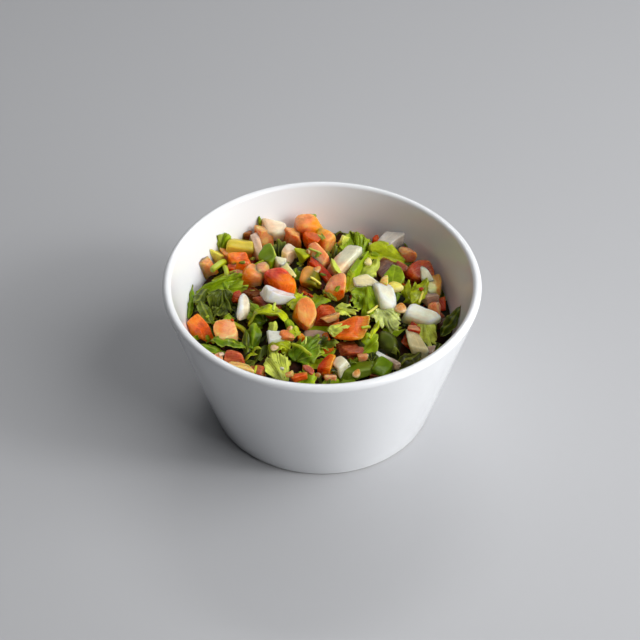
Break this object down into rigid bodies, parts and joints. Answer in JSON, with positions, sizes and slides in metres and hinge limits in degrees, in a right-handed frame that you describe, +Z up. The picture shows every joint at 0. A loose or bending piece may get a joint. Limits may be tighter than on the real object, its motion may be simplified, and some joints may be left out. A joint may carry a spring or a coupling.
{
  "type": "bowl of pico de gallo",
  "caption": "Conical white porcelain bowl filled with a heap of diced tomato, onion, green pepper and torn coriander leaves, to stand on a table as a side dish.",
  "frame": {"origin": "centre of the foot circle, on the surface the bowl stands on", "axes": "+Z up along the bowl's turning axis; the pictured front faces -Y, +X to the right"},
  "size_m": [0.096, 0.096, 0.0497],
  "materials": {
    "porcelain": "white glazed porcelain, smooth and glossy",
    "salad": "wet diced tomato, onion, pepper and herb leaves"
  },
  "bodies": {
    "root": {"bowl": "porcelain", "pico_heap": "salad"}
  },
  "joints": []
}
